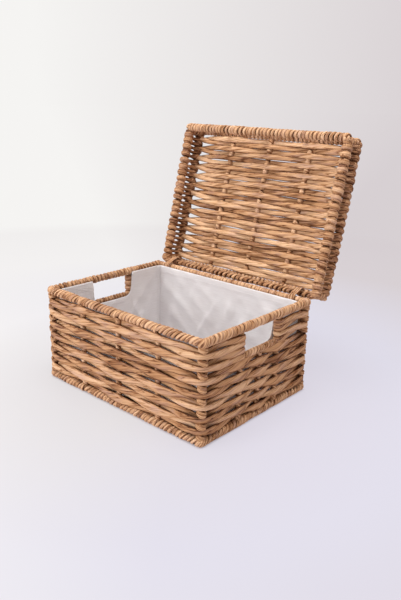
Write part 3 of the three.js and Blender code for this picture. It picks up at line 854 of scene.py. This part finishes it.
def build_lid_rims():
    wraps = {
        "front": Wrap(LID_RIM_RADIUS, 8.6 * MM, 2.4 * MM, lean=0.15, uneven=0.18),
        # The rear rim's low tone is painted shade
        "rear": Wrap(
            LID_RIM_RADIUS * 0.7, 11.0 * MM, 2.0 * MM, lean=-0.9, uneven=0.25, cover=0.85, tone=0.24),
    }
    edge_wrap = Wrap(STRAND_REACH, 9.5 * MM, 2.8 * MM, lean=0.3)
    for level, height in (("rim", LID_WRAP_Z), ("edge", LID_PANEL_Z)):
        loop = wire_loop(LID_X, LID_Y, LID_MIDDLE + UP * height, RIM_CORNER_RADIUS, LID_RIM_RADIUS)
        for side_name in ("front", "rear"):
            side = loop[side_name]
            build_wrapped_rod(
                f"lid_{level}_wrapping_{side_name}", "lid", f"lid_{level}_winding_{side_name}",
                side.place, (-side.corner, side.corner),
                wraps[side_name] if level == "rim" else edge_wrap)


def build_lid_posts():
    """Strip wound down each corner of the lid, from the panel to the rim."""
    loop = wire_loop(LID_X, LID_Y, LID_MIDDLE)
    wrap = Wrap(8.0 * MM, 9.0 * MM, 2.8 * MM, lean=0.3)
    past_rods = 3 * MM
    for number, corner in enumerate(corner_points(loop), 1):
        out = unit((corner - LID_MIDDLE) * (1, 1, 0))
        build_wrapped_rod(
            f"lid_corner_{number}_wrapping", "lid", f"lid_corner_post_{number}",
            straight_rod(corner, UP, out),
            (LID_RIM_Z - past_rods, LID_PANEL_Z + past_rods), wrap)


def build_lid_stakes():
    """Narrow strip round the stakes across the lid and round the uprights beside them."""
    piece = Piece("lid_stake_wraps")
    stake_wrap = Wrap(5.6 * MM, 15.0 * MM, 2.2 * MM, lean=0.4, cover=1.0)
    upright_wrap = Wrap(4.2 * MM, 6.0 * MM, 1.6 * MM, lean=0.3)
    for x in STAKES:
        stake = straight_rod(LID_MIDDLE + ALONG * x + UP * LID_PANEL_Z, ACROSS, UP)
        add_wrapping(piece, stake, -LID_Y, LID_Y, stake_wrap)
        for way in (-ACROSS, ACROSS):
            foot = LID_MIDDLE + way * LID_Y + ALONG * (x - LAP)
            upright = straight_rod(foot, UP, way)
            add_wrapping(piece, upright, LID_RIM_Z, LID_PANEL_Z, upright_wrap)
    piece.build("lid", STRIP)


# Hinge ties


def build_ties():
    """A few turns of strip round the two rear rims, near each end."""
    base_rim = np.array((0.0, WALL_Y, TOP_RIM_Z))
    lid_rim = np.array(LID_PLACE @ Vector((0.0, LID_MIDDLE[1] + LID_Y, LID_RIM_Z)))
    reach = lid_rim - base_rim
    heading = math.atan2(reach[2], reach[1])
    turns = 3
    steps = 24
    half_width = 1.9 * MM
    half_thick = 1.0 * MM
    turn = 2 * math.pi * np.arange(turns * steps + 1) / steps
    on_lid = np.cos(turn) > 0
    radius = np.where(on_lid, LID_RIM_RADIUS, RIM_RADIUS) + half_thick + CLEARANCE
    radial = np.stack((np.zeros(len(turn)), np.cos(turn + heading), np.sin(turn + heading)), axis=1)
    centres = np.where(on_lid[:, None], lid_rim, base_rim) + radial * radius[:, None]
    shift = (turn / turn[-1] - 0.5) * turns * 2 * half_width
    for side_name, sign in (("right", 1), ("left", -1)):
        piece = Piece(f"hinge_tie_strip_{side_name}")
        rng = piece.rng
        middle_x = sign * (BOX_LENGTH / 2 - TIE_INSET)
        centres[:, 0] = middle_x + shift + wander(rng, shift, 4 * MM, 0.5 * MM)
        forward = unit(np.gradient(centres, axis=0) * (0, 1, 1))
        thick = np.cross(forward, ALONG)
        rings = oval_rings(centres, ALONG, half_width, thick, half_thick, WRAP_SIDES)
        piece.add_tube(rings, np.clip(0.5 + wander(rng, shift, 6 * MM, 0.3), 0, 1))
        tie = piece.build(None, STRIP, [f"hinge_tie_{side_name}"])
        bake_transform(tie)


# Liner


LINER_STEP = 2.5 * MM
LINER_CORNER = 8 * MM
LINER_THICKNESS = 0.9 * MM
LINER_GAP = 1.2 * MM
LINER_FOLDS = 36
LINER_WAVES = 16
LINER_SLACK = 1.6 * MM        # how softly the cloth lies on the wall between its folds
LINER_FOOT = 5 * MM           # how far the foot of the wall stands in
LINER_RISE = 10 * MM          # how far the cloth comes up past its CAD panels, inside the rim
HOLE_DROP = 6 * MM            # how far the cut at a hand hole lies below the top of the rail
HOLE_ROOM = 7 * MM            # room between a hand hole and the cut, on each side
SEAM_RIDGE = 2.6 * MM
SEAM_GROOVE = 1.0 * MM
HEM = 15 * MM
HEM_STEP = 0.8 * MM
STITCH_PITCH = 3.4 * MM
STITCH_LENGTH = 2.3 * MM
STITCH_RADIUS = 0.35 * MM


def liner_outline():
    """Points and inward directions round the liner, and the number of the point at each corner seam."""
    half_y = -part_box("liner_front")[0][1]
    half_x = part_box("liner_right")[1][0]
    points, inward, seams = [], [], []
    for side in wire_loop(half_x, half_y, UP * 0, LINER_CORNER).values():
        count = int(2 * side.corner / LINER_STEP)
        stops = np.linspace(-side.corner, side.corner, count, endpoint=False)
        side_points, outs = side.place(stops)
        seams.append(sum(len(group) for group in points))
        points.append(side_points)
        inward.append(-outs)
    return np.concatenate(points), np.concatenate(inward), seams


def apart_round(distances, place, total):
    return (distances - place + total / 2) % total - total / 2


def random_fold(rng, total):
    """Place, slant, width and strength of one fold."""
    place = rng.uniform(0, total)
    slant = rng.uniform(-1.1, 1.1)
    return place, slant, rng.uniform(5, 22) * MM, rng.uniform(0.5, 2.6) * MM


def random_wave(rng):
    """Count round the box, slope, phase and strength of one wave of the crumpled cloth."""
    count = rng.integers(-34, 35)
    return count, rng.uniform(-24, 24), rng.uniform(0, 2 * math.pi), rng.uniform(0.4, 0.9) * MM


def liner_depth(folds, waves, distances, total, seams, rise, height, hem_height):
    """How far one level of the cloth stands in from the wall."""
    depth = LINER_GAP + HEM_STEP * smooth_step(hem_height - 0.01, hem_height + 0.01, height)
    depth = depth + LINER_FOOT * (1 - smooth_step(0, 12 * MM, rise))
    free = math.sin(math.pi * min(1.0, 0.12 + 0.88 * height)) ** 0.6
    bulge = np.zeros(len(distances))
    for place, slant, width, strength in folds:
        apart = apart_round(distances - slant * rise, place, total)
        bulge = bulge + strength * free * np.exp(-(apart / width) ** 2)
    for count, slope, phase, strength in waves:
        turn = 2 * math.pi * (count * distances / total + slope * rise) + phase
        bulge = bulge + strength * free * np.sin(turn)
    depth = depth + (bulge + np.hypot(bulge, LINER_SLACK * free)) / 2
    for seam in seams:
        apart = apart_round(distances, seam, total)
        depth = depth + SEAM_RIDGE * np.exp(-((apart - 4 * MM) / (2.5 * MM)) ** 2)
        depth = depth - SEAM_GROOVE * np.exp(-(apart / (2 * MM)) ** 2)
    return depth


def build_liner():
    """One sewn cotton bag: soft folds, a stitched hem, cut down at the hand holes, and a floor."""
    rng = random_for("liner")
    outline, inward, seam_points = liner_outline()
    floor_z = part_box("liner_floor")[0][2]
    top_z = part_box("liner_front")[1][2] + LINER_RISE
    hole_z = RAIL_Z + RAIL_RADIUS - HOLE_DROP
    is_end = np.abs(outline[:, 0]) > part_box("liner_right")[0][0] - 1 * MM
    half_hole = HANDLE_WIDTH / 2 + HOLE_ROOM
    share = np.clip(np.abs(outline[:, 1]) / half_hole, 0, 1)
    in_hole = is_end * (1 - share ** 8) ** 0.25
    tops = top_z - (top_z - hole_z) * in_hole

    around = length_along(closed(outline))
    distances, total = around[:-1], around[-1]
    folds = [random_fold(rng, total) for _ in range(LINER_FOLDS)]
    waves = [random_wave(rng) for _ in range(LINER_WAVES)]
    hem_height = 1 - HEM / (top_z - floor_z)
    below_hem = np.linspace(0, hem_height - 0.01, 40)
    in_hem = np.linspace(hem_height + 0.01, 1, 6)
    levels = np.concatenate((below_hem, in_hem))
    rings, maps = [], []
    for height in levels:
        z = floor_z + (tops - floor_z) * height
        depth = liner_depth(
            folds, waves, distances, total, distances[seam_points], z - floor_z, height, hem_height)
        ring = outline + inward * depth[:, None]
        ring[:, 2] = z
        rings.append(ring)
        maps.append(np.stack((distances, z), axis=1))
    rings = np.array(rings)
    mesh = bag_mesh("liner_cloth", rings, np.array(maps), total)
    nodes = [f"liner_{part}" for part in ("floor", "front", "rear", "right", "left")]
    liner = finish_piece("liner_cloth", mesh, "base", COTTON, nodes)
    thicken = liner.modifiers.new("thickness", "SOLIDIFY")
    thicken.thickness = LINER_THICKNESS
    thicken.offset = 0
    stitches = build_stitches(rings[-5], inward, distances, total)


def points_at(stops, along, path):
    return np.stack([np.interp(stops, along, path[:, axis]) for axis in range(3)], axis=1)


def build_stitches(ring, inward, distances, total):
    """A row of stitches through the hem."""
    piece = Piece("liner_stitches")
    path = closed(ring) + closed(inward) * LINER_THICKNESS / 2
    along = np.concatenate((distances, (total,)))
    for start in np.arange(0, total - STITCH_LENGTH, STITCH_PITCH):
        stops = start + np.array((0.0, 0.5, 1.0)) * STITCH_LENGTH
        facing = unit(points_at(stops, distances, inward))
        arch = facing * STITCH_RADIUS * np.array((-0.8, 0.5, -0.8))[:, None]
        centres = points_at(stops, along, path) + arch
        rings = oval_rings(centres, UP, STITCH_RADIUS, facing, STITCH_RADIUS, 6)
        piece.add_tube(rings, 0.5)
    stitches = piece.build("base", COTTON)
    stitches.data.uv_layers["strand"].name = "cloth"
    return stitches


def bag_mesh(name, rings, maps, total):
    """A skin over the wall's rings and over rings that shrink to the middle of the floor."""
    levels, count = rings.shape[:2]
    floor_rings = 12
    floor_z = rings[0, :, 2].mean() + 0.8 * MM
    faces, corners, vertices = [], [], [rings.reshape(-1, 3)]
    for level in range(levels - 1):
        low = level * count
        high = low + count
        for column in range(count):
            after = (column + 1) % count
            faces.append((low + after, low + column, high + column, high + after))
            step = np.array((total if after == 0 else 0.0, 0.0))
            corners += (maps[level, after] + step, maps[level, column],
                        maps[level + 1, column], maps[level + 1, after] + step)
    for ring in range(floor_rings):
        share = 1 - (ring + 1) / (floor_rings + 0.5)
        flat = rings[0] * (share, share, 0)
        flat[:, 2] = floor_z + 0.6 * MM * np.sin(60 * flat[:, 0]) * np.sin(50 * flat[:, 1])
        vertices.append(flat)
    points = np.concatenate(vertices)
    starts = [0, *(levels * count + ring * count for ring in range(floor_rings))]
    floor_faces = []
    for outer, inner in zip(starts, starts[1:]):
        for column in range(count):
            after = (column + 1) % count
            floor_faces.append((outer + column, outer + after, inner + after, inner + column))
    floor_faces.append(tuple(range(starts[-1], starts[-1] + count)))
    corners += [points[corner, :2] for face in floor_faces for corner in face]
    return new_mesh(name, points, faces + floor_faces, "cloth", corners)


# Floor, light and camera


CAMERA_AZIMUTH = 40.92
CAMERA_ELEVATION = 17.89
CAMERA_ROLL = 1.59
CAMERA_DISTANCE = 1.1856
CAMERA_RIGHT = 0.0466
CAMERA_UP = 0.1566
FOCAL_PIXELS = 623.5
IMAGE_HEIGHT = 600
SENSOR = 36.0

# Colours to the camera's left and right, and the slants at which each one is reached. The ground and
# backdrop glow in them, lighter on the left: painted light, falling off away from the key lamp's side.
NEAR_GROUND = ((0.765, 0.74, 0.745), (0.735, 0.705, 0.79), -0.5, 0.5)
GROUND = ((0.92, 0.905, 0.895), (0.745, 0.735, 0.84), -0.9, 0.0)
BACKDROP = ((0.915, 0.905, 0.89), (0.68, 0.63, 0.65), -0.25, 0.35)
GROUND_GLOW = 0.85            # share of the ground's look that shadows don't reach
BESIDE_BOX = (0.2, 0.5)       # distances over which the ground's colour goes over, in metres
BEHIND_BOX = (0.45, 0.95)
FAR_OFF = (0.5, 1.6)          # distances over which the last of the shadow fades
LIGHT_SIZE = 1.6
LIGHT_TARGET = Vector((0, 0, 0.15))
AMBIENT = (1.0, 0.87, 0.78)
AMBIENT_STRENGTH = 0.4
FILL = (1.0, 0.76, 0.58)


def link_vector_math(operation, *values):
    node = add_node("VectorMath", values[0])
    node.operation = operation
    set_inputs(node, dict(enumerate(values)))
    return node.outputs


def link_sideways(place, left, right, left_end, right_end):
    """A colour that goes over from left to right, between two slants to the camera's right."""
    azimuth = math.radians(CAMERA_AZIMUTH)
    camera_right = (math.cos(azimuth), math.sin(azimuth), 0.0)
    direction = link_vector_math("NORMALIZE", place)["Vector"]
    slant = link_vector_math("DOT_PRODUCT", direction, camera_right)["Value"]
    return link_mix(link_range(slant, left_end, right_end), left, right)


def mix_shaders(factor, first, second):
    mix = add_node("MixShader", factor)
    set_inputs(mix, {0: factor, 1: first, 2: second})
    return mix.outputs[0]


def seen_directly(tree):
    rays = tree.nodes.new("ShaderNodeLightPath").outputs
    seen = link_math("MAXIMUM", rays["Is Camera Ray"], rays["Is Glossy Ray"])
    return link_math("MAXIMUM", seen, rays["Is Transmission Ray"])


def link_clear_of_box(place):
    """0 on the ground under the box and 1 beside it."""
    apart = link_apart(place)
    across = [link_math("MULTIPLY", link_math("ABSOLUTE", apart[axis]), 2 / size)
              for axis, size in (("X", BOX_LENGTH), ("Y", BOX_WIDTH))]
    return link_range(link_math("MAXIMUM", *across), 0.94, 1.0)


def build_stage():
    mesh = bpy.data.meshes.new("ground")
    reach = 30.0
    corners = [(-reach, -reach, 0), (reach, -reach, 0), (reach, reach, 0), (-reach, reach, 0)]
    mesh.from_pydata(corners, [], [(0, 1, 2, 3)])
    ground = new_object("ground", mesh)
    material, tree, shader = new_material("ground")
    set_inputs(shader, {
        "Base Color": NEAR_GROUND[1], "Roughness": 0.9, "Specular IOR Level": 0.1})
    place = tree.nodes.new("ShaderNodeTexCoord").outputs["Object"]
    distance = link_vector_math("LENGTH", place)["Value"]
    glow = tree.nodes.new("ShaderNodeEmission")
    near, beside, far = (link_sideways(place, *look) for look in (NEAR_GROUND, GROUND, BACKDROP))
    colour = link_mix(link_range(distance, *BESIDE_BOX), near, beside)
    colour = link_mix(link_range(distance, *BEHIND_BOX), colour, far)
    set_inputs(glow, {"Color": colour})
    share = link_math("MAXIMUM", link_range(distance, *FAR_OFF), GROUND_GLOW)
    share = link_math("MULTIPLY", share, link_clear_of_box(place))
    seen = link_math("MULTIPLY", share, seen_directly(tree))
    surface = mix_shaders(seen, shader.outputs[0], glow.outputs[0])
    set_inputs(tree.nodes["Material Output"], {"Surface": surface})
    mesh.materials.append(material)


def add_area_light(name, place, power, colour=(1.0, 1.0, 1.0)):
    light = bpy.data.lights.new(name, "AREA")
    light.shape = "DISK"
    light.size = LIGHT_SIZE
    light.energy = power
    light.color = colour
    lamp = new_object(name, light)
    lamp.location = place
    lamp.rotation_euler = (LIGHT_TARGET - Vector(place)).to_track_quat("-Z", "Y").to_euler()


def build_light():
    world = bpy.data.worlds.new("studio")
    world.use_nodes = True
    tree = world.node_tree
    ambient = tree.nodes["Background"]
    set_inputs(ambient, {"Color": AMBIENT, "Strength": AMBIENT_STRENGTH})
    backdrop = tree.nodes.new("ShaderNodeBackground")
    place = tree.nodes.new("ShaderNodeTexCoord").outputs["Generated"]
    set_inputs(backdrop, {"Color": link_sideways(place, *BACKDROP)})
    surface = mix_shaders(seen_directly(tree), ambient.outputs[0], backdrop.outputs[0])
    set_inputs(tree.nodes["World Output"], {"Surface": surface})
    bpy.context.scene.world = world
    add_area_light("key", (-0.9, -2.6, 1.0), 50)
    add_area_light("overhead", (0.1, -0.2, 2.4), 46)
    add_area_light("fill", (2.6, -0.3, 1.2), 5, FILL)


def build_camera():
    data = bpy.data.cameras.new("camera")
    data.sensor_width = SENSOR
    data.lens = FOCAL_PIXELS * SENSOR / IMAGE_HEIGHT
    camera = new_object("camera", data)
    turn = Matrix.Identity(4)
    for degrees, axis in ((CAMERA_AZIMUTH, "Z"), (90 - CAMERA_ELEVATION, "X"), (CAMERA_ROLL, "Z")):
        turn = turn @ Matrix.Rotation(math.radians(degrees), 4, axis)
    camera.matrix_world = turn @ Matrix.Translation((CAMERA_RIGHT, CAMERA_UP, CAMERA_DISTANCE))
    bpy.context.scene.camera = camera


for node in ("base_wire_frame", "lid_wire_frame"):
    frame["nodes"][node].data.materials.clear()
    frame["nodes"][node].data.materials.append(WIRE)
for course in RING_COURSES:
    build_ring_course(course)
for course in HANDLE_COURSES:
    for half in ("front", "rear"):
        build_handle_course(course, half)
build_corner_posts()
build_rims()
build_rails()
build_stake_wraps()
build_floor()
build_lid_rows()
build_lid_sides()
build_lid_rims()
build_lid_posts()
build_lid_stakes()
build_ties()
build_liner()
build_stage()
build_light()
build_camera()
bpy.context.scene.view_settings.view_transform = "Standard"
